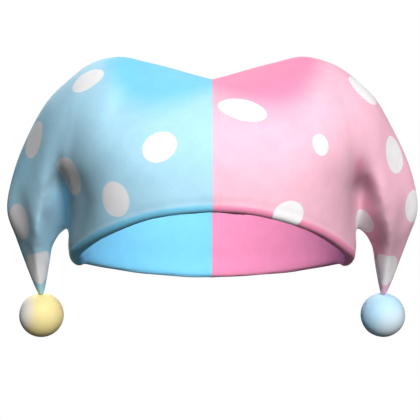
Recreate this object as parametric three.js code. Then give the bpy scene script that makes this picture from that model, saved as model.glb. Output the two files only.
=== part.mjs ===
// A soft two-colour jester hat in millimetres: two hollow cloth halves, each with its half of the crown,
// a drooping horn and a rolled hem, and a ball sewn to the tip of each horn.
// +X is the viewer's right when facing the hat, +Y points to the back of the head and +Z up.
// The origin is the middle of the head opening, half way between the forehead and the nape.
import * as THREE from "three";

// Head opening, measured on the outside of the cloth
const rimHalfWidth = 98.4;
const rimHalfDepth = 105;
const rimFrontRise = 41; // lower edge of the hem at the forehead, above the origin
const rimBackDrop = 41.5; // lower edge of the hem at the nape, below the origin
const rimSideDrop = 11.8; // lower edge of the hem over the ears, below the origin
const rimCurve = 1.35; // 1 is a straight hem from the ear to the forehead or the nape, more hollows it

// Cloth and hem
const wall = 2.4;
const hemThickness = 7;
const hemHeight = 15;
const hemRollSteps = 4;
const seamGap = 0.3; // between the two halves

// Outline of the crown and of one horn, seen from the front
const crownTop = 115.4; // top of the centre seam
const crestHalfSpan = 64.8; // from the centre to the top of a horn
const crestTop = 131.3;
const elbowReach = 141.7; // from the centre to the furthest point of a horn
const elbowHeight = 29.6;
const sideHalfWidth = 98; // over the ears, between the hem and the armpit
const armpitHalfSpan = 99.2; // the armpit is where the underside of the horn leaves the side of the hat
const armpitHeight = 12.4;
const hornHalfDepth = 42; // at the root of a horn, from its middle to its front
const tipReach = 118.8;
const tipDrop = 32.8; // end of the horn, below the origin
const tipRadius = 1.5;

// Ball at the tip
const ballDiameter = 31;
const pocketRadius = 2.8;
const pocketDepth = 1.3;
const ballGap = 0.35;

// Fineness of the meshes
const crownSteps = 4; // from one section of a table to the next
const hornSteps = 2;
const pointsAround = 32; // from the front hem over the top to the back hem
const ballSides = 24;
const ballRows = 14;

// Share of a section's height at which each depth column of the tables is measured
const depthHeights = { low: 0.1, waist: 0.3, mid: 0.52, high: 0.74, brow: 0.92 };

// Sections of the crown, from the centre seam towards the ear. angle is where the section stands on the hem,
// from the forehead, 0, to the ear, 90. topX is a share of crestHalfSpan, topZ a share of the rise from
// crownTop to crestTop, and the depths are shares of rimHalfDepth.
const crownSections = [
  { angle: 0, topX: 0, topZ: 0, low: 1.01, waist: 1.0, mid: 0.95, high: 0.82, brow: 0.54 },
  { angle: 22.5, topX: 0.37, topZ: 0.44, low: 0.94, waist: 0.94, mid: 0.88, high: 0.73, brow: 0.42 },
  { angle: 45, topX: 0.68, topZ: 0.77, low: 0.74, waist: 0.81, mid: 0.81, high: 0.64, brow: 0.3 },
  { angle: 67.5, topX: 0.95, topZ: 0.99, low: 0.44, waist: 0.55, mid: 0.68, high: 0.6, brow: 0.31 },
];

// Sections from the ear over the armpit to the elbow of the horn. topX and topZ run from the top of the horn,
// 0, to the elbow, 1. The lower end climbs from the hem over the ear to the armpit (side, 0 to 1), and then
// follows the underside of the horn from the armpit to the tip (endX and endZ, 0 to 1). The depths are
// shares of hornHalfDepth.
const shoulderSections = [
  { side: 0, topX: 0.19, topZ: 0.04, low: 0.53, waist: 0.78, mid: 1.3, high: 1.3, brow: 0.7 },
  { side: 0.5, topX: 0.32, topZ: 0.1, low: 0.33, waist: 0.62, mid: 1.18, high: 1.14, brow: 0.64 },
  { side: 1, topX: 0.45, topZ: 0.18, low: 0.27, waist: 0.56, mid: 1.03, high: 0.98, brow: 0.55 },
  { endX: 0.16, endZ: 0.02, topX: 0.59, topZ: 0.28, low: 0.34, waist: 0.74, mid: 0.92, high: 0.79, brow: 0.44 },
  { endX: 0.34, endZ: 0.09, topX: 0.73, topZ: 0.45, low: 0.42, waist: 0.82, mid: 0.78, high: 0.58, brow: 0.31 },
  { endX: 0.5, endZ: 0.2, topX: 0.88, topZ: 0.68, low: 0.44, waist: 0.74, mid: 0.6, high: 0.4, brow: 0.2 },
];

// Sections of the hanging end of the horn. topX and topZ run from the elbow, 0, to the tip, 1.
const dropSections = [
  { endX: 0.6, endZ: 0.3, topX: 0, topZ: 0, low: 0.36, waist: 0.54, mid: 0.42, high: 0.27, brow: 0.13 },
  { endX: 0.66, endZ: 0.45, topX: 0.22, topZ: 0.29, low: 0.28, waist: 0.41, mid: 0.33, high: 0.21, brow: 0.1 },
  { endX: 0.74, endZ: 0.64, topX: 0.52, topZ: 0.6, low: 0.19, waist: 0.28, mid: 0.24, high: 0.16, brow: 0.08 },
  { endX: 0.84, endZ: 0.87, topX: 0.79, topZ: 0.88, low: 0.1, waist: 0.14, mid: 0.14, high: 0.11, brow: 0.07 },
];

// The horn is hollow down to this section of its hanging end, and solid below it
const hollowDropSections = 1;

const depthNames = Object.keys(depthHeights);
const quarterTurn = Math.PI / 2;
const halfTurn = Math.PI;

function between(from, to, share) {
  return from + (to - from) * share;
}

// Lower edge of the hem at an angle from the forehead, 0, over the ear to the nape, a half turn
function hemLevel(angle) {
  const forward = Math.cos(angle);
  const end = forward > 0 ? rimFrontRise : -rimBackDrop;
  return between(-rimSideDrop, end, Math.abs(forward) ** rimCurve);
}

// The cloth's outer face ends half a roll above the lower edge of the hem
function hemPoint(angle) {
  return new THREE.Vector3(
    Math.max(seamGap / 2, rimHalfWidth * Math.sin(angle)),
    -rimHalfDepth * Math.cos(angle),
    hemLevel(angle) + hemThickness / 2,
  );
}

// Every section in millimetres: where it stands on the hem, its lower end, its top and its half depths
function stationsInMillimetres() {
  const ear = hemPoint(quarterTurn);
  const stations = [];
  for (const row of crownSections) {
    stations.push({
      ...row,
      angle: THREE.MathUtils.degToRad(row.angle),
      lowX: ear.x,
      lowZ: ear.z,
      topX: Math.max(seamGap / 2, crestHalfSpan * row.topX),
      topZ: between(crownTop, crestTop, row.topZ),
      halfDepth: rimHalfDepth,
      steps: crownSteps,
    });
  }
  for (const row of shoulderSections) {
    const climb = row.side ?? 1;
    const sideX = between(ear.x, sideHalfWidth, Math.min(1, climb * 2));
    const climbX = between(sideX, armpitHalfSpan, Math.max(0, climb * 2 - 1));
    stations.push({
      ...row,
      angle: quarterTurn,
      lowX: between(climbX, tipReach, row.endX ?? 0),
      lowZ: between(between(ear.z, armpitHeight, climb), -tipDrop, row.endZ ?? 0),
      topX: between(crestHalfSpan, elbowReach, row.topX),
      topZ: between(crestTop, elbowHeight, row.topZ),
      halfDepth: hornHalfDepth,
      steps: hornSteps,
    });
  }
  for (const row of dropSections) {
    stations.push({
      ...row,
      angle: quarterTurn,
      lowX: between(armpitHalfSpan, tipReach, row.endX),
      lowZ: between(armpitHeight, -tipDrop, row.endZ),
      topX: between(elbowReach, tipReach, row.topX),
      topZ: between(elbowHeight, -tipDrop, row.topZ),
      halfDepth: hornHalfDepth,
      steps: hornSteps,
    });
  }
  for (const station of stations) {
    for (const name of depthNames) station[name] *= station.halfDepth;
  }
  stations.push(tipStation());
  return stations;
}

// The end of the horn is a small round section
function tipStation() {
  const station = {
    angle: quarterTurn,
    lowX: tipReach - tipRadius,
    lowZ: -tipDrop,
    topX: tipReach + tipRadius,
    topZ: -tipDrop,
  };
  for (const name of depthNames) {
    const across = 2 * depthHeights[name] - 1;
    station[name] = tipRadius * Math.sqrt(1 - across * across);
  }
  return station;
}

// A smooth curve through equally spaced values, read between the second and the third of four
function smoothBetween(before, from, to, after, share) {
  const squared = share * share;
  const cubed = squared * share;
  const start = (to - before) / 2;
  const end = (after - from) / 2;
  return (
    (2 * cubed - 3 * squared + 1) * from +
    (cubed - 2 * squared + share) * start +
    (3 * squared - 2 * cubed) * to +
    (cubed - squared) * end
  );
}

// All sections of one half, with the steps between the rows of the tables filled in
function filledStations() {
  const stations = stationsInMillimetres();
  const last = stations.length - 1;
  const filled = [];
  stations.forEach((station, row) => {
    const before = stations[Math.max(0, row - 1)];
    const next = stations[Math.min(last, row + 1)];
    const after = stations[Math.min(last, row + 2)];
    const count = row === last ? 1 : station.steps;
    for (let step = 0; step < count; step += 1) {
      const share = step / count;
      const section = { row: row + share, angle: between(station.angle, next.angle, share) };
      for (const name of ["lowX", "lowZ", "topX", "topZ", ...depthNames]) {
        section[name] = smoothBetween(before[name], station[name], next[name], after[name], share);
      }
      filled.push(section);
    }
  });
  return filled;
}

// One section of the outer face, from the front hem over the top to the back hem. From the ear on both ends
// meet.
function sectionPoints(section) {
  const closed = section.angle >= quarterTurn - 1e-9;
  const top = new THREE.Vector3(section.topX, 0, section.topZ);
  const sides = [section.angle, halfTurn - section.angle].map((angle, side) => {
    const low = closed ? new THREE.Vector3(section.lowX, 0, section.lowZ) : hemPoint(angle);
    const towards = side === 0 ? -1 : 1;
    const points = [low];
    for (const name of depthNames) {
      const point = low.clone().lerp(top, depthHeights[name]);
      point.y = towards * section[name];
      points.push(point);
    }
    return points;
  });
  const guide = [...sides[0], top, ...sides[1].reverse()];
  if (closed) guide.pop();
  const curve = new THREE.CatmullRomCurve3(guide, closed, "centripetal");
  const points = [];
  for (let step = 0; step <= pointsAround; step += 1) points.push(curve.getPoint(step / pointsAround));
  if (closed) points[pointsAround] = points[0].clone();
  return { closed, points };
}

// Outward directions on the grid of sections
function outwardDirections(grid) {
  return grid.map((section, row) => {
    const before = grid[Math.max(0, row - 1)].points;
    const after = grid[Math.min(grid.length - 1, row + 1)].points;
    return section.points.map((point, step) => {
      const wrap = section.closed ? pointsAround : 0;
      const previous = step > 0 ? step - 1 : Math.max(0, wrap - 1);
      const next = step < pointsAround ? step + 1 : wrap ? 1 : pointsAround;
      const along = after[step].clone().sub(before[step]);
      const around = section.points[next].clone().sub(section.points[previous]);
      const outward = along.cross(around);
      if (row === 0) outward.x = 0;
      if (section.closed && step % pointsAround === 0) outward.y = 0;
      return outward.normalize();
    });
  });
}

// Cloth thickness at a point of the outer face: doubled and rolled near the hem, one cloth above it
function thicknessAt(point, onHorn) {
  if (onHorn) return wall;
  const forward = THREE.MathUtils.clamp(-point.y / rimHalfDepth, -1, 1);
  const height = point.z - hemLevel(Math.acos(forward));
  const above = THREE.MathUtils.smoothstep(height, hemThickness / 2, hemHeight);
  return between(hemThickness, wall, above);
}

// One half of the hat on the +X side, as a closed shell
function halfHat() {
  const sections = filledStations();
  const grid = sections.map(sectionPoints);
  const outward = outwardDirections(grid);
  const armpitRow = crownSections.length + 2;
  const elbowRow = crownSections.length + shoulderSections.length;
  const hollowEnd = sections.findIndex((section) => section.row > elbowRow + hollowDropSections);
  const inner = grid.slice(0, hollowEnd + 1).map((section, row) => {
    const onHorn = sections[row].row > armpitRow;
    return section.points.map((point, step) => {
      return point.clone().addScaledVector(outward[row][step], -thicknessAt(point, onHorn));
    });
  });

  const positions = [];
  const triangles = [];
  const place = (point) => positions.push(point.x, point.y, point.z) / 3 - 1;
  const quad = (a, b, c, d) => triangles.push(a, b, c, a, c, d);

  // Both faces, with the two ends of a closed section on one point
  const indexSections = (rows) => {
    return rows.map((points, row) => {
      const indices = points.slice(0, pointsAround).map(place);
      indices.push(grid[row].closed ? indices[0] : place(points[pointsAround]));
      return indices;
    });
  };
  const outerIndex = indexSections(grid.map((section) => section.points));
  const innerIndex = indexSections(inner);
  for (let row = 0; row + 1 < outerIndex.length; row += 1) {
    for (let step = 0; step < pointsAround; step += 1) {
      const [here, beyond] = [outerIndex[row], outerIndex[row + 1]];
      quad(here[step], beyond[step], beyond[step + 1], here[step + 1]);
    }
  }
  for (let row = 0; row < hollowEnd; row += 1) {
    for (let step = 0; step < pointsAround; step += 1) {
      const [here, beyond] = [innerIndex[row], innerIndex[row + 1]];
      quad(here[step], here[step + 1], beyond[step + 1], beyond[step]);
    }
  }

  // The tip and the end of the hollow
  const middle = (points) => {
    const sum = new THREE.Vector3();
    for (const point of points.slice(0, pointsAround)) sum.add(point);
    return sum.divideScalar(pointsAround);
  };
  const tip = place(middle(grid[grid.length - 1].points));
  const hollow = place(middle(inner[hollowEnd]));
  for (let step = 0; step < pointsAround; step += 1) {
    const [outerEnd, innerEnd] = [outerIndex[outerIndex.length - 1], innerIndex[hollowEnd]];
    triangles.push(outerEnd[step], tip, outerEnd[step + 1]);
    triangles.push(innerEnd[step], innerEnd[step + 1], hollow);
  }

  // The roll of the hem, from the outer face round the lower edge to the inner face
  const rollAt = (row, step) => {
    const from = grid[row].points[step];
    const to = inner[row][step];
    const centre = from.clone().add(to).divideScalar(2);
    const sideways = from.clone().sub(centre);
    const radius = sideways.length();
    const normal = sideways.clone().normalize();
    const down = new THREE.Vector3(0, 0, -1).addScaledVector(normal, normal.z).normalize();
    down.multiplyScalar(radius);
    const indices = [outerIndex[row][step]];
    for (let turn = 1; turn < hemRollSteps; turn += 1) {
      const angle = (halfTurn * turn) / hemRollSteps;
      const point = centre.clone();
      point.addScaledVector(sideways, Math.cos(angle)).addScaledVector(down, Math.sin(angle));
      indices.push(place(point));
    }
    indices.push(innerIndex[row][step]);
    return indices;
  };
  const earRow = grid.findIndex((section) => section.closed);
  const earRoll = rollAt(earRow, 0);
  const rolls = [0, pointsAround].map((step) => {
    const roll = [];
    for (let row = 0; row < earRow; row += 1) roll.push(rollAt(row, step));
    roll.push(earRoll);
    return roll;
  });
  rolls.forEach((roll, side) => {
    for (let row = 0; row < earRow; row += 1) {
      for (let turn = 0; turn < hemRollSteps; turn += 1) {
        const corners = [roll[row][turn], roll[row][turn + 1], roll[row + 1][turn + 1], roll[row + 1][turn]];
        if (side === 1) corners.reverse();
        quad(...corners);
      }
    }
  });

  // The flat edge along the centre seam
  for (let step = 0; step < pointsAround; step += 1) {
    quad(outerIndex[0][step], outerIndex[0][step + 1], innerIndex[0][step + 1], innerIndex[0][step]);
  }
  rolls.forEach((roll, side) => {
    for (let turn = 1; turn < hemRollSteps; turn += 1) {
      const corners = [roll[0][0], roll[0][turn + 1], roll[0][turn]];
      if (side === 1) corners.reverse();
      triangles.push(...corners);
    }
  });
  return { positions, triangles };
}

// The same shell on either side: 1 is the viewer's right, -1 the left
function halfGeometry(shell, side) {
  const positions = shell.positions.map((value, index) => (index % 3 === 0 ? value * side : value));
  const triangles = [...shell.triangles];
  if (side < 0) {
    for (let index = 0; index < triangles.length; index += 3) {
      [triangles[index], triangles[index + 1]] = [triangles[index + 1], triangles[index]];
    }
  }
  const geometry = new THREE.BufferGeometry();
  geometry.setAttribute("position", new THREE.Float32BufferAttribute(positions, 3));
  geometry.setIndex(triangles);
  geometry.computeVertexNormals();
  return geometry;
}

// A round ball with a small round pocket on top, in which the end of the horn sits
function ballGeometry(side) {
  const radius = ballDiameter / 2;
  const pocketFloor = radius - pocketDepth;
  const openingAngle = Math.asin(pocketRadius / radius);
  const profile = [new THREE.Vector2(0, -radius)];
  for (let row = 1; row <= ballRows; row += 1) {
    const angle = (halfTurn - openingAngle) * (row / ballRows);
    profile.push(new THREE.Vector2(radius * Math.sin(angle), -radius * Math.cos(angle)));
  }
  profile.push(new THREE.Vector2(pocketRadius, pocketFloor));
  profile.push(new THREE.Vector2(0, pocketFloor));
  const geometry = new THREE.LatheGeometry(profile, ballSides);
  geometry.rotateX(quarterTurn);
  geometry.translate(side * tipReach, 0, -tipDrop - ballGap - pocketFloor);
  return geometry;
}

function namedMesh(name, geometry, colour, roughness) {
  const material = new THREE.MeshStandardMaterial({ color: colour, roughness, metalness: 0 });
  const mesh = new THREE.Mesh(geometry, material);
  mesh.name = name;
  return mesh;
}

const shell = halfHat();
const hat = new THREE.Group();
hat.name = "jester_hat";
hat.add(namedMesh("blue_half", halfGeometry(shell, -1), 0xa9ddf5, 0.9));
hat.add(namedMesh("pink_half", halfGeometry(shell, 1), 0xffc2d8, 0.9));
hat.add(namedMesh("yellow_ball", ballGeometry(-1), 0xfbe8a6, 0.75));
hat.add(namedMesh("sky_ball", ballGeometry(1), 0xb4e2fb, 0.75));

export default hat;
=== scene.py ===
import math

import bmesh
import bpy
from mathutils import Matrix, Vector, noise
from mathutils.bvhtree import BVHTree


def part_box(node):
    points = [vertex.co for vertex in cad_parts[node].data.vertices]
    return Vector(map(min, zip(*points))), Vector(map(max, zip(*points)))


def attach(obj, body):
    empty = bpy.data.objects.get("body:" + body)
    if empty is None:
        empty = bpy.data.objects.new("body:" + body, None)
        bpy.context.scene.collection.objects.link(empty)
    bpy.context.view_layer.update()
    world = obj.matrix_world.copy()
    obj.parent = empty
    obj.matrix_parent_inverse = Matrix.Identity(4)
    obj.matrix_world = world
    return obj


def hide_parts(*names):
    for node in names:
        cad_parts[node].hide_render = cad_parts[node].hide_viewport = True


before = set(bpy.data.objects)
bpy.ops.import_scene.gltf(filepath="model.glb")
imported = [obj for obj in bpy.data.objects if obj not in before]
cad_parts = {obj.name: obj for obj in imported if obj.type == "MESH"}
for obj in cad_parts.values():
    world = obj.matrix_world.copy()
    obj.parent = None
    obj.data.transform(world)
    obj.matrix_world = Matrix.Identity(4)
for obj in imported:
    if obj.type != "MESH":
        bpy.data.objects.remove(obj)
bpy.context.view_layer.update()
bpy.ops.object.select_all(action="DESELECT")


# The view of the photograph: from straight in front and a little above, through a long lens.
# The hat is held in the air as a head would hold it, well clear of the floor.
view_rise = math.radians(8)
view_distance = 0.684
view_shift_side = -0.0015
view_shift_up = 0.0261
view_lens = 85

forward = Vector((0, math.cos(view_rise), -math.sin(view_rise)))
upward = Vector((0, math.sin(view_rise), math.cos(view_rise)))
bpy.ops.object.camera_add(
    location=Vector((view_shift_side, 0, 0)) + upward * view_shift_up - forward * view_distance,
    rotation=(math.pi / 2 - view_rise, 0, 0),
)
camera = bpy.context.active_object
camera.data.lens = view_lens
camera.data.sensor_width = 36
camera.data.clip_start = 0.01
bpy.context.scene.camera = camera


# A soft studio: a white floor below, a white surround, one large key light from the upper right in front,
# one from behind for the back of the hat, a faint one from below and a small lamp in the hollow.
bpy.context.scene.view_settings.view_transform = "Standard"
bpy.context.scene.view_settings.look = "None"


def white_to_camera(tree, dim, white, output):
    """Shows plain white to the camera, while the hat gets only the dim light of the same surface."""
    seen_by = tree.nodes.new("ShaderNodeLightPath")
    choose = tree.nodes.new("ShaderNodeMixShader")
    tree.links.new(seen_by.outputs["Is Camera Ray"], choose.inputs["Fac"])
    tree.links.new(dim, choose.inputs[1])
    tree.links.new(white, choose.inputs[2])
    tree.links.new(choose.outputs["Shader"], output)


world = bpy.data.worlds.new("white_surround")
bpy.context.scene.world = world
world.use_nodes = True
tree = world.node_tree
backdrop = tree.nodes["Background"]
backdrop.inputs["Color"].default_value = (1, 1, 1, 1)
backdrop.inputs["Strength"].default_value = 1.0
ambient = tree.nodes.new("ShaderNodeBackground")
ambient.inputs["Color"].default_value = (1, 1, 1, 1)
ambient.inputs["Strength"].default_value = 0.045
white_to_camera(
    tree,
    dim=ambient.outputs["Background"],
    white=backdrop.outputs["Background"],
    output=tree.nodes["World Output"].inputs["Surface"],
)


def soft_light(name, place, aim, size, watts):
    """A round lamp panel, turned towards its aim."""
    bpy.ops.object.light_add(type="AREA", location=place)
    light = bpy.context.active_object
    light.name = name
    light.data.shape = "DISK"
    light.data.size = size
    light.data.energy = watts
    light.rotation_euler = (Vector(aim) - Vector(place)).to_track_quat("-Z", "Y").to_euler()
    return light


soft_light("key_light", place=(0.31, -1.14, 0.845), aim=(0, 0, 0.03), size=0.42, watts=23.6)
inside_light = soft_light(
    "inside_light", place=(-0.01, -0.045, 0.05), aim=(-0.01, 0.1, -0.02), size=0.06, watts=0.09
)
inside_light.data.spread = math.radians(100)
inside_light.visible_camera = False
soft_light("back_light", place=(-0.45, 1.2, 0.75), aim=(0, 0, 0.03), size=0.6, watts=15)
low_light = soft_light("low_light", place=(0, -0.42, -0.3), aim=(0, -0.06, 0.02), size=0.12, watts=0.01)
low_light.data.spread = math.radians(42)

floor_drop = 0.35
bpy.ops.mesh.primitive_plane_add(size=30, location=(0, 0, -floor_drop))
floor = bpy.context.active_object
floor.name = "floor"
floor_paint = bpy.data.materials.new("white_floor")
floor_paint.use_nodes = True
tree = floor_paint.node_tree
paint = tree.nodes["Principled BSDF"]
paint.inputs["Base Color"].default_value = (0.07, 0.07, 0.07, 1)
paint.inputs["Roughness"].default_value = 0.9
glow = tree.nodes.new("ShaderNodeEmission")
white_to_camera(
    tree,
    dim=paint.outputs["BSDF"],
    white=glow.outputs["Emission"],
    output=tree.nodes["Material Output"].inputs["Surface"],
)
floor.data.materials.append(floor_paint)


# The two halves of the hat: soft brushed cloth, cut as one crown panel with its horn and sewn together along
# the middle. The lower edge is turned in and rolled, and the cloth creases where each horn droops.
# It has a lit and a shaded copy of one colour: pale on the outer face, and a richer, darker copy painted as
# shade in the saddle, on the roll, inside and in creases. White dots are printed on its outer face.
millimetre = 0.001
merge_distance = 0.00002
quad_face_angle, quad_shape_angle = 50, 60
smooth_levels, smooth_angle = 2, 60

# The seam: how far off the middle its points lie in the solid at most, and where they go
seam_reach, seam_half_gap, seam_crease = 0.0005, 0.000005, 1

# Lower edge of the hem round the head, the groove that its stitches pull, the roll in rich colour painted as
# shade, and more painted shade on its underside
hem_front, hem_side, hem_back = 0.041, -0.0118, -0.0415
hem_curve = 1.35
hem_reach_side, hem_reach_front = 0.0984, 0.105
groove_height, groove_width, groove_depth = 0.0074, 0.0022, 0.00028
roll_starts, roll_full = 0.0066, 0.0042
roll_shade_starts, roll_shade_full, roll_shade_share = 0.0042, 0.001, 0.2

# Between these distances from the middle the crown ends and the horn begins
crown_full, crown_ends = 0.097, 0.103

# Above each ear the hem is drawn together
pinch_height, pinch_reach = 0.008, 0.03
pinch_inward, pinch_down = 0.003, 0.0014

# The hem hangs a little lower at the forehead and the nape than the solid's, from this height down
hang_front, hang_back, hang_reach = 0.0027, 0.001, 0.09
hang_starts, hang_full = 0.026, 0.006

# Folds of the drooping horns, seen from the front in millimetres from the middle of the hat: the points that
# a fold runs through, its half width and depth, how much painted shade darkens its crease, and how much rich
# colour it paints as shade. The back of the hat has the same folds. They fade out towards the ends of their
# routes, and in the middle of the horn, where the cloth faces sideways.
fold_fades_in, fold_fades_out = (-0.1, 0.25), (1.1, 0.7)
sideways_depth_share, sideways, facing = 6, 0.1, 0.5
folds = {
    -1: (
        ("outer_fold", ((95, 60), (101, 52), (108, 44), (110, 34), (108, 20), (106, 2)), 6.5, 1.5, 0.42, 0),
        ("inner_fold", ((90, 62), (85, 53), (81, 42), (83, 31), (88, 18), (91, 6)), 7, 1.0, 0.14, 0),
        ("horn_hollow", ((112, 48), (110, 34), (108, 16)), 9, 0.8, 0.35, 0),
        ("rich_shade_streak", ((95, 50), (96, 34), (97, 14)), 4.2, 0, 0, 0.4),
        # Along the outer edge of the horn there is no fold, only painted shade and rich colour painted as
        # shade.
        ("horn_edge", ((108, 102), (124, 82), (136, 52), (140, 36)), 13, 0, 0.12, 0.3),
        ("elbow_fold", ((130, 44), (125, 24), (121, 8), (119, -16)), 6.5, 1.1, 0.45, 0),
    ),
    1: (
        ("armpit_arch", ((88, 48), (96, 47), (104, 41), (110, 31), (113, 12), (115, -14)), 7, 1.5, 0.42, 0),
        ("side_fold", ((90, 76), (91, 52), (92, 30), (90, 6)), 6.5, 1.1, 0.18, 0),
        ("rich_shade_streak", ((93, 68), (94, 56), (96, 44)), 3.6, 0, 0, 0.8),
        ("elbow_fold", ((131, 38), (125, 18), (121, 2), (119, -16)), 7, 0.8, 0.25, 0),
    ),
}

# The saddle between the horns, which faces up, gets the rich colour as painted shade: an oval on either side
# of the seam, and its soft edge
saddle_middle, saddle_half_width, saddle_half_depth = 0.028, 0.046, 0.08
saddle_starts, saddle_full = 0.08, 0.095
saddle_inner_edge, saddle_outer_edge = 0.74, 1.14

# Slight waves of the cloth, each half with its own, which die out at the seam. The tip of the horn stays as
# it is, because the ball is sewn to it.
wave_size, wave_height, wave_offset = 0.034, 0.0006, 3.1
calm_at_seam, waves_full = 0.0005, 0.012
tip_span, tip_calm, tip_ends = 0.1, -0.03, -0.015

# Places in the hollow, across and up, that see the inner face of the cloth and not the outer one
hollow_places = ((0.02, 0.07), (0.088, 0.074), (0.112, 0.055), (0.115, 0.034))
ray_lift = 0.0004


def smooth_step(value, start, end):
    """Eases from 0 at the start to 1 at the end, in either direction."""
    share = min(1, max(0, (value - start) / (end - start)))
    return share * share * (3 - 2 * share)


def cloth_form(name, node, side):
    """The cloth of one half as a smooth closed skin, from a copy of the solid's mesh."""
    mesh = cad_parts[node].data.copy()
    mesh.name = name
    mesh.materials.clear()
    piece = bpy.data.objects.new(name, mesh)
    bpy.context.collection.objects.link(piece)
    skin = bmesh.new()
    skin.from_mesh(mesh)
    bmesh.ops.remove_doubles(skin, verts=skin.verts, dist=merge_distance)
    bmesh.ops.join_triangles(
        skin,
        faces=skin.faces,
        angle_face_threshold=math.radians(quad_face_angle),
        angle_shape_threshold=math.radians(quad_shape_angle),
    )
    for vert in skin.verts:
        if abs(vert.co.x) < seam_reach:
            vert.co.x = side * seam_half_gap
    skin.to_mesh(mesh)
    skin.free()
    if "custom_normal" in mesh.attributes:
        mesh.attributes.remove(mesh.attributes["custom_normal"])
    bpy.ops.object.select_all(action="DESELECT")
    bpy.context.view_layer.objects.active = piece
    piece.select_set(True)
    crease = mesh.attributes.new("crease_edge", "FLOAT", "EDGE")
    for edge in mesh.edges:
        ends = [mesh.vertices[index].co for index in edge.vertices]
        on_seam = all(abs(end.x) < seam_reach for end in ends)
        crease.data[edge.index].value = seam_crease if on_seam else 0
    smoother = piece.modifiers.new("smooth", "SUBSURF")
    smoother.levels = smooth_levels
    smoother.render_levels = smooth_levels
    bpy.ops.object.modifier_apply(modifier="smooth")
    bpy.ops.object.shade_smooth_by_angle(angle=math.radians(smooth_angle))
    return piece


def outer_face(piece, side):
    """Marks each point 0 where a place in the hollow sees it, and otherwise 1. Adds the skin's search tree."""
    mesh = piece.data
    faces = [list(face.vertices) for face in mesh.polygons]
    tree = BVHTree.FromPolygons([vert.co for vert in mesh.vertices], faces)
    marks = []
    for vert in mesh.vertices:
        normal = vert.normal.copy()
        if abs(vert.co.x) < seam_reach:
            normal.x = 0
            normal.normalize()
        start = vert.co + normal * ray_lift
        outer = 1
        for across, height in hollow_places:
            way = Vector((side * across, 0, height)) - start
            if way.dot(normal) > 0 and tree.ray_cast(start, way.normalized(), way.length)[0] is None:
                outer = 0
                break
        marks.append(outer)
    return marks, tree


def above_hem(point):
    """Height of a point above the lower edge of the hem at its place round the head."""
    round_head = Vector((point.x / hem_reach_side, -point.y / hem_reach_front)).normalized()
    end = hem_front if round_head.y > 0 else hem_back
    return point.z - (hem_side + (end - hem_side) * abs(round_head.y) ** hem_curve)


def in_folds(point, side):
    """How deep the folds press a point, in metres, and their painted shade and rich shaded colour there."""
    sink, fold_shade, rich = 0, 0, 0
    here = Vector((abs(point.x), point.z)) / millimetre
    for fold_name, route, half_width, depth, shade_share, rich_shade in folds[side]:
        nearest, along = math.inf, 0
        for index, (start, end) in enumerate(zip(route, route[1:])):
            start, end = Vector(start), Vector(end)
            share = (here - start).dot(end - start) / (end - start).length_squared
            share = min(1, max(0, share))
            gap = (here - start.lerp(end, share)).length
            if gap < nearest:
                nearest, along = gap, (index + share) / (len(route) - 1)
        closeness = math.exp(-((nearest / half_width) ** 2))
        closeness *= smooth_step(along, *fold_fades_in) * smooth_step(along, *fold_fades_out)
        sink += closeness * depth * millimetre
        fold_shade = max(fold_shade, closeness * shade_share)
        rich = max(rich, closeness * rich_shade)
    return sink, fold_shade, rich


def shape_cloth(piece, side, outside):
    """Presses folds, groove and waves into the cloth, hangs its hem, and writes its colour masks."""
    mesh = piece.data
    moves, richness, painted_shade = [], [], []
    for vert, outer in zip(mesh.vertices, outside):
        point, normal = vert.co.copy(), vert.normal.copy()
        if abs(point.x) < seam_reach:
            normal.x = 0
            normal.normalize()
        fold, fold_shade, rich_shade = in_folds(point, side)
        faces_out = smooth_step(abs(normal.y) + abs(point.y) * sideways_depth_share, sideways, facing)
        height = above_hem(point)
        on_crown = smooth_step(abs(point.x), crown_ends, crown_full)
        groove = math.exp(-(((height - groove_height) / groove_width) ** 2)) * on_crown
        wave = noise.noise(point / wave_size + Vector((side * wave_offset, 0, 0))) * wave_height
        clear_of_seam = smooth_step(abs(point.x), calm_at_seam, waves_full)
        clear_of_tip = smooth_step(point.z, tip_calm, tip_ends) if abs(point.x) > tip_span else 1
        sink = fold * faces_out + groove * groove_depth * outer
        outward = normal if outer else -normal
        move = outward * ((wave * clear_of_seam - sink) * clear_of_tip)
        pinch = smooth_step(height, pinch_height, 0) * smooth_step(abs(point.y), pinch_reach, 0) * on_crown
        to_front = smooth_step(-point.y, 0, hang_reach)
        to_back = smooth_step(point.y, 0, hang_reach)
        hang = (to_front * hang_front + to_back * hang_back) * smooth_step(height, hang_starts, hang_full)
        moves.append(move + Vector((-side * pinch_inward, 0, -pinch_down)) * pinch - Vector((0, 0, hang)))
        oval = math.hypot((abs(point.x) - saddle_middle) / saddle_half_width, point.y / saddle_half_depth)
        saddle = smooth_step(oval, saddle_outer_edge, saddle_inner_edge)
        saddle *= smooth_step(point.z, saddle_starts, saddle_full)
        roll = smooth_step(height, roll_starts, roll_full) * on_crown
        # Painted shade on the underside of the roll, darkest at its lower edge.
        roll_shade = smooth_step(height, roll_shade_starts, roll_shade_full) * roll_shade_share * on_crown
        # The rich colour is painted as shade: inside, on the saddle, on the roll and in streaks in the
        # creases.
        richness.append(max(1 - outer, saddle, roll, rich_shade * faces_out))
        painted_shade.append(max(fold_shade * faces_out * outer, roll_shade))
    for vert, move in zip(mesh.vertices, moves):
        vert.co += move
    for mask_name, values in (("outside", outside), ("richness", richness), ("painted_shade", painted_shade)):
        mask = mesh.attributes.new(mask_name, "FLOAT", "POINT")
        mask.data.foreach_set("value", [float(value) for value in values])
    mesh.update()


halves = {}
surfaces = {}
for name, node, side in (("blue_cloth_half", "blue_half", -1), ("pink_cloth_half", "pink_half", 1)):
    half = cloth_form(name, node, side)
    marks, surfaces[side] = outer_face(half, side)
    shape_cloth(half, side, marks)
    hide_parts(node)
    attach(half, "root")
    halves[side] = half


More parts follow.
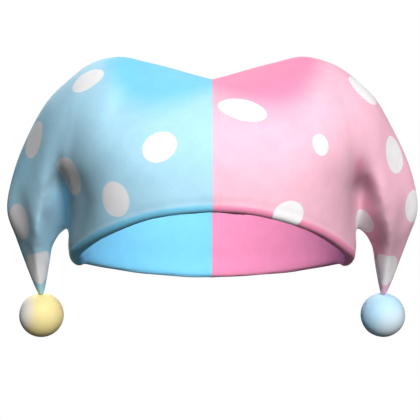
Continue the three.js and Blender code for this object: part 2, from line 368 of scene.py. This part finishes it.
# The printed dots of each half: name, centre and half sizes in millimetres, and tilt in degrees.
# Each is the part of the outer face that lies in such an oval round the nearest point of the cloth.
dots = {
    -1: (
        ("crest", (-80, -32, 115), (11.5, 12, 11.5), 0),
        ("edge", (-118, -18, 76), (12.5, 12.5, 12.8), 0),
        ("fold", (-90, -48, 55), (13, 15, 12.4), 0),
        ("brow", (-31, -95, 77), (10.8, 10, 9.2), 25),
        ("front", (-58, -86, 45), (10.6, 10.6, 10.8), 0),
        ("elbow", (-131, -14, 20), (12, 12, 12.4), 0),
        ("tip", (-117, -11, -12), (12, 12, 12.4), 0),
        ("nape", (-34, 96, 14), (11.5, 11.5, 11.5), 0),
        ("back_side", (-80, 66, 8), (11.5, 11.5, 11.5), 0),
        ("back_middle", (-28, 92, 66), (12, 12, 12), 0),
        ("back_crown", (-72, 62, 60), (11.5, 11.5, 11.5), 0),
        ("back_brow", (-45, 62, 104), (12, 12, 12), 0),
        ("back_edge", (-103, 26, 100), (12, 12, 12), 0),
        ("back_horn", (-116, 22, 54), (12, 12, 12), 0),
        ("back_elbow", (-128, 9, 2), (11, 11, 11), 0),
        ("ear", (-95, -24, 8), (9, 10, 10), 0),
    ),
    1: (
        ("brow", (17.5, -81, 98), (15.2, 12, 7.6), -17),
        ("small", (65, -79, 77), (6.2, 6.4, 6.8), 0),
        ("edge", (99, -16, 108), (13.5, 13, 12), 0),
        ("horn", (120, -19, 66), (12, 12.4, 12.6), 0),
        ("elbow", (138, -7, 30), (11.5, 11.5, 11.2), 0),
        ("rim", (45, -93, 36.5), (10.6, 10.6, 8.6), 0),
        ("armpit", (101, -10, 20.5), (9.6, 14, 10), 0),
        ("tip", (118, -11, -14), (12, 12, 12), 0),
        ("nape", (52, 86, 2), (11.5, 11.5, 11.5), 0),
        ("back_side", (88, 50, 22), (11.5, 11.5, 11.5), 0),
        ("back_middle", (22, 98, 48), (12, 12, 12), 0),
        ("back_crown", (62, 74, 62), (11.5, 11.5, 11.5), 0),
        ("back_brow", (24, 78, 100), (12, 12, 12), 0),
        ("back_edge", (84, 34, 112), (12, 12, 12), 0),
        ("back_horn", (112, 30, 70), (12, 12, 12), 0),
        ("back_elbow", (124, 12, 20), (11, 11, 11), 0),
    ),
}


def colour(red, green, blue):
    return (red, green, blue, 1)


def group_with(name, inputs, outputs):
    """A node group with its named sockets, and its input and output nodes."""
    group = bpy.data.node_groups.new(name, "ShaderNodeTree")
    for direction, sockets in (("INPUT", inputs), ("OUTPUT", outputs)):
        for socket_name, kind in sockets:
            group.interface.new_socket(socket_name, in_out=direction, socket_type=kind)
    return group, group.nodes.new("NodeGroupInput"), group.nodes.new("NodeGroupOutput")


def printed_dot_group():
    """An oval patch round a point of the cloth, with a slightly soft printed edge."""
    group, given, result = group_with(
        "printed_dot",
        (
            ("Place", "NodeSocketVector"),
            ("Centre", "NodeSocketVector"),
            ("Half Sizes", "NodeSocketVector"),
            ("Tilt", "NodeSocketFloat"),
        ),
        (("Mask", "NodeSocketFloat"),),
    )
    links = group.links
    offset = group.nodes.new("ShaderNodeVectorMath")
    offset.operation = "SUBTRACT"
    links.new(given.outputs["Place"], offset.inputs[0])
    links.new(given.outputs["Centre"], offset.inputs[1])
    turned = group.nodes.new("ShaderNodeVectorRotate")
    turned.rotation_type = "Y_AXIS"
    links.new(offset.outputs["Vector"], turned.inputs["Vector"])
    links.new(given.outputs["Tilt"], turned.inputs["Angle"])
    share = group.nodes.new("ShaderNodeVectorMath")
    share.operation = "DIVIDE"
    links.new(turned.outputs["Vector"], share.inputs[0])
    links.new(given.outputs["Half Sizes"], share.inputs[1])
    reach = group.nodes.new("ShaderNodeVectorMath")
    reach.operation = "LENGTH"
    links.new(share.outputs["Vector"], reach.inputs[0])
    edge = group.nodes.new("ShaderNodeMapRange")
    edge.interpolation_type = "SMOOTHSTEP"
    edge.inputs["From Min"].default_value = 1.035
    edge.inputs["From Max"].default_value = 0.965
    links.new(reach.outputs["Value"], edge.inputs["Value"])
    links.new(edge.outputs["Result"], result.inputs["Mask"])
    return group


def brushed_nap_group():
    """Raised fibres of a brushed cloth: a height for the bump, and a mask of lighter and darker tufts."""
    group, given, result = group_with(
        "brushed_nap",
        (("Place", "NodeSocketVector"), ("Tuft Size", "NodeSocketFloat")),
        (("Height", "NodeSocketFloat"), ("Tufts", "NodeSocketFloat")),
    )
    links = group.links
    fineness = group.nodes.new("ShaderNodeMath")
    fineness.operation = "DIVIDE"
    fineness.inputs[0].default_value = 1
    links.new(given.outputs["Tuft Size"], fineness.inputs[1])
    fibres = group.nodes.new("ShaderNodeTexNoise")
    fibres.inputs["Detail"].default_value = 3
    fibres.inputs["Roughness"].default_value = 0.65
    links.new(given.outputs["Place"], fibres.inputs["Vector"])
    links.new(fineness.outputs["Value"], fibres.inputs["Scale"])
    coarser = group.nodes.new("ShaderNodeMath")
    coarser.operation = "MULTIPLY"
    coarser.inputs[1].default_value = 0.12
    links.new(fineness.outputs["Value"], coarser.inputs[0])
    patches = group.nodes.new("ShaderNodeTexNoise")
    patches.inputs["Detail"].default_value = 2
    links.new(given.outputs["Place"], patches.inputs["Vector"])
    links.new(coarser.outputs["Value"], patches.inputs["Scale"])
    tufts = group.nodes.new("ShaderNodeMath")
    tufts.operation = "ADD"
    links.new(fibres.outputs["Fac"], tufts.inputs[0])
    links.new(patches.outputs["Fac"], tufts.inputs[1])
    halved = group.nodes.new("ShaderNodeMath")
    halved.operation = "MULTIPLY"
    halved.inputs[1].default_value = 0.5
    links.new(tufts.outputs["Value"], halved.inputs[0])
    links.new(fibres.outputs["Fac"], result.inputs["Height"])
    links.new(halved.outputs["Value"], result.inputs["Tufts"])
    return group


printed_dot = printed_dot_group()
brushed_nap = brushed_nap_group()
dot_white = colour(0.97, 0.955, 0.965)
# The near-black that painted shade mixes in: in the creases, along the horn's outer edge and under the roll.
crease_shade = colour(0.12, 0.12, 0.13)
cloth_tuft_size, cloth_nap_strength, cloth_nap_depth = 0.0011, 0.22, 0.0005
tuft_level, cloth_tuft_shade = 0.42, 0.5

# Places of the colour sockets on a mix of two colours
first_colour, second_colour, mixed_colour = 6, 7, 2


def mixed(material, first, second, mask):
    """Mixes two colours by a mask. Each may be a fixed colour or a socket."""
    nodes, links = material.node_tree.nodes, material.node_tree.links
    mix = nodes.new("ShaderNodeMix")
    mix.data_type = "RGBA"
    mix.clamp_factor = True
    for socket, value in ((mix.inputs[first_colour], first), (mix.inputs[second_colour], second)):
        if isinstance(value, tuple):
            socket.default_value = value
        else:
            links.new(value, socket)
    links.new(mask, mix.inputs["Factor"])
    return mix.outputs[mixed_colour]


def value_of(material, operation, first, second):
    """One step of arithmetic on masks. Each input may be a number or a socket."""
    nodes, links = material.node_tree.nodes, material.node_tree.links
    step = nodes.new("ShaderNodeMath")
    step.operation = operation
    step.use_clamp = True
    for socket, value in zip(step.inputs, (first, second)):
        if isinstance(value, (int, float)):
            socket.default_value = value
        else:
            links.new(value, socket)
    return step.outputs["Value"]


def surface_mask(material, name):
    """A mask that is written on the points of the piece."""
    mask = material.node_tree.nodes.new("ShaderNodeAttribute")
    mask.attribute_name = name
    return mask.outputs["Fac"]


def place_on(material):
    """Where each point lies on its piece."""
    return material.node_tree.nodes.new("ShaderNodeTexCoord").outputs["Object"]


def nap_on(material, shader, place, size, strength, depth):
    """Gives a shader the fine bump of a brushed surface, and hands back the mask of its tufts."""
    nodes, links = material.node_tree.nodes, material.node_tree.links
    nap = nodes.new("ShaderNodeGroup")
    nap.node_tree = brushed_nap
    nap.inputs["Tuft Size"].default_value = size
    links.new(place, nap.inputs["Place"])
    bump = nodes.new("ShaderNodeBump")
    bump.inputs["Strength"].default_value = strength
    bump.inputs["Distance"].default_value = depth
    links.new(nap.outputs["Height"], bump.inputs["Height"])
    links.new(bump.outputs["Normal"], shader.inputs["Normal"])
    return nap.outputs["Tufts"]


def between_tufts(material, tufts, shade):
    """A mask of the darker ground that shows between the tufts."""
    deeper = value_of(material, "SUBTRACT", tufts, tuft_level)
    return value_of(material, "MULTIPLY", deeper, shade)


def cloth_material(slot, side, pale, rich, deep):
    """Brushed cloth: pale, a rich copy painted as shade, printed dots, and painted shade in its creases."""
    material = bpy.data.materials.new(slot)
    material.use_nodes = True
    nodes, links = material.node_tree.nodes, material.node_tree.links
    cloth = nodes["Principled BSDF"]
    cloth.inputs["Roughness"].default_value = 0.88
    cloth.inputs["Specular IOR Level"].default_value = 0.25
    cloth.inputs["Sheen Weight"].default_value = 0.06
    cloth.inputs["Sheen Roughness"].default_value = 0.4
    place = place_on(material)
    tufts = nap_on(material, cloth, place, cloth_tuft_size, cloth_nap_strength, cloth_nap_depth)
    outside = surface_mask(material, "outside")
    dyed = mixed(material, pale, rich, surface_mask(material, "richness"))
    printed = None
    for dot_name, centre, half_sizes, tilt in dots[side]:
        on_cloth = surfaces[side].find_nearest(Vector(centre) * millimetre)[0]
        dot = nodes.new("ShaderNodeGroup")
        dot.node_tree = printed_dot
        dot.label = dot_name
        dot.inputs["Centre"].default_value = on_cloth
        dot.inputs["Half Sizes"].default_value = Vector(half_sizes) * millimetre
        dot.inputs["Tilt"].default_value = math.radians(tilt)
        links.new(place, dot.inputs["Place"])
        mask = dot.outputs["Mask"]
        printed = mask if printed is None else value_of(material, "MAXIMUM", printed, mask)
    printed = value_of(material, "MULTIPLY", printed, outside)
    finished = mixed(material, dyed, dot_white, printed)
    finished = mixed(material, finished, deep, between_tufts(material, tufts, cloth_tuft_shade))
    # Painted shade: darker in the creases, along the horn's outer edge and on the roll's underside.
    finished = mixed(material, finished, crease_shade, surface_mask(material, "painted_shade"))
    links.new(finished, cloth.inputs["Base Color"])
    halves[side].data.materials.append(material)


cloth_material(
    "blue_cloth",
    side=-1,
    pale=colour(0.47, 0.80, 0.98),
    rich=colour(0.215, 0.70, 0.98),
    deep=colour(0.10, 0.36, 0.60),
)
cloth_material(
    "pink_cloth",
    side=1,
    pale=colour(0.98, 0.55, 0.68),
    rich=colour(0.98, 0.31, 0.51),
    deep=colour(0.62, 0.13, 0.27),
)


# The balls: firm stuffed felt, each with a small pocket on top where the tip of its horn is sewn in.
# Each ball is paler on one side; on the sky ball this pale patch is a painted highlight.
ball_segments, ball_rings = 96, 64
pocket_radius, pocket_depth = 0.0034, 0.0016
lump_size, lump_height = 0.009, 0.00012
felt_tuft_size, felt_nap_strength, felt_nap_depth = 0.0008, 0.18, 0.0003
felt_tuft_shade, felt_deep_share = 0.3, 0.6


def ball_form(name, node, patch_towards, patch_edge, patch_strength):
    """A slightly lumpy ball in the place of its node, with the pocket, and the mask of its pale patch."""
    low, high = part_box(node)
    centre = (Vector(low) + Vector(high)) / 2
    radius = (high[0] - low[0]) / 2
    centre.z = low[2] + radius
    bpy.ops.object.select_all(action="DESELECT")
    bpy.ops.mesh.primitive_uv_sphere_add(
        segments=ball_segments, ring_count=ball_rings, radius=radius, location=centre
    )
    ball = bpy.context.active_object
    ball.name = name
    bpy.ops.object.transform_apply(location=True, rotation=True, scale=True)
    bpy.ops.object.shade_smooth()
    patch_way = Vector(patch_towards).normalized()
    pale_patch = []
    for vert in ball.data.vertices:
        out = (vert.co - centre).normalized()
        lump = noise.noise(vert.co / lump_size) * lump_height - lump_height
        across = math.hypot(vert.co.x - centre.x, vert.co.y - centre.y)
        pocket = smooth_step(across, pocket_radius, 0) * pocket_depth if out.z > 0 else 0
        vert.co += out * lump
        vert.co.z -= pocket
        pale_patch.append(smooth_step(out.dot(patch_way), patch_edge, 1) * patch_strength)
    mask = ball.data.attributes.new("pale_patch", "FLOAT", "POINT")
    mask.data.foreach_set("value", pale_patch)
    return ball


def felt_material(slot, full, patch_colour):
    """Smooth felt in its full colour, paler on its patch and deeper between its tufts."""
    material = bpy.data.materials.new(slot)
    material.use_nodes = True
    felt = material.node_tree.nodes["Principled BSDF"]
    felt.inputs["Roughness"].default_value = 0.6
    felt.inputs["Specular IOR Level"].default_value = 0.35
    felt.inputs["Sheen Weight"].default_value = 0.08
    felt.inputs["Sheen Roughness"].default_value = 0.4
    tufts = nap_on(material, felt, place_on(material), felt_tuft_size, felt_nap_strength, felt_nap_depth)
    felted = mixed(material, full, patch_colour, surface_mask(material, "pale_patch"))
    deep = colour(*(part * felt_deep_share for part in full[:3]))
    felted = mixed(material, felted, deep, between_tufts(material, tufts, felt_tuft_shade))
    material.node_tree.links.new(felted, felt.inputs["Base Color"])
    return material


yellow_ball = ball_form(
    "yellow_felt_ball", "yellow_ball", patch_towards=(-0.86, -0.42, 0.22), patch_edge=0.45, patch_strength=1.0
)
yellow_felt = felt_material("yellow_felt", full=colour(0.99, 0.83, 0.36), patch_colour=colour(0.97, 0.95, 0.92))
# The sky ball's pale patch, low on its right front, is a painted highlight.
sky_ball = ball_form(
    "sky_felt_ball", "sky_ball", patch_towards=(0.5, -0.72, -0.42), patch_edge=0.3, patch_strength=0.6
)
sky_felt = felt_material("sky_felt", full=colour(0.52, 0.81, 0.98), patch_colour=colour(0.9, 0.95, 0.99))
for ball, node, slot, felt in (
    (yellow_ball, "yellow_ball", "yellow_felt", yellow_felt),
    (sky_ball, "sky_ball", "sky_felt", sky_felt),
):
    ball.data.materials.append(felt)
    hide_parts(node)
    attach(ball, "root")
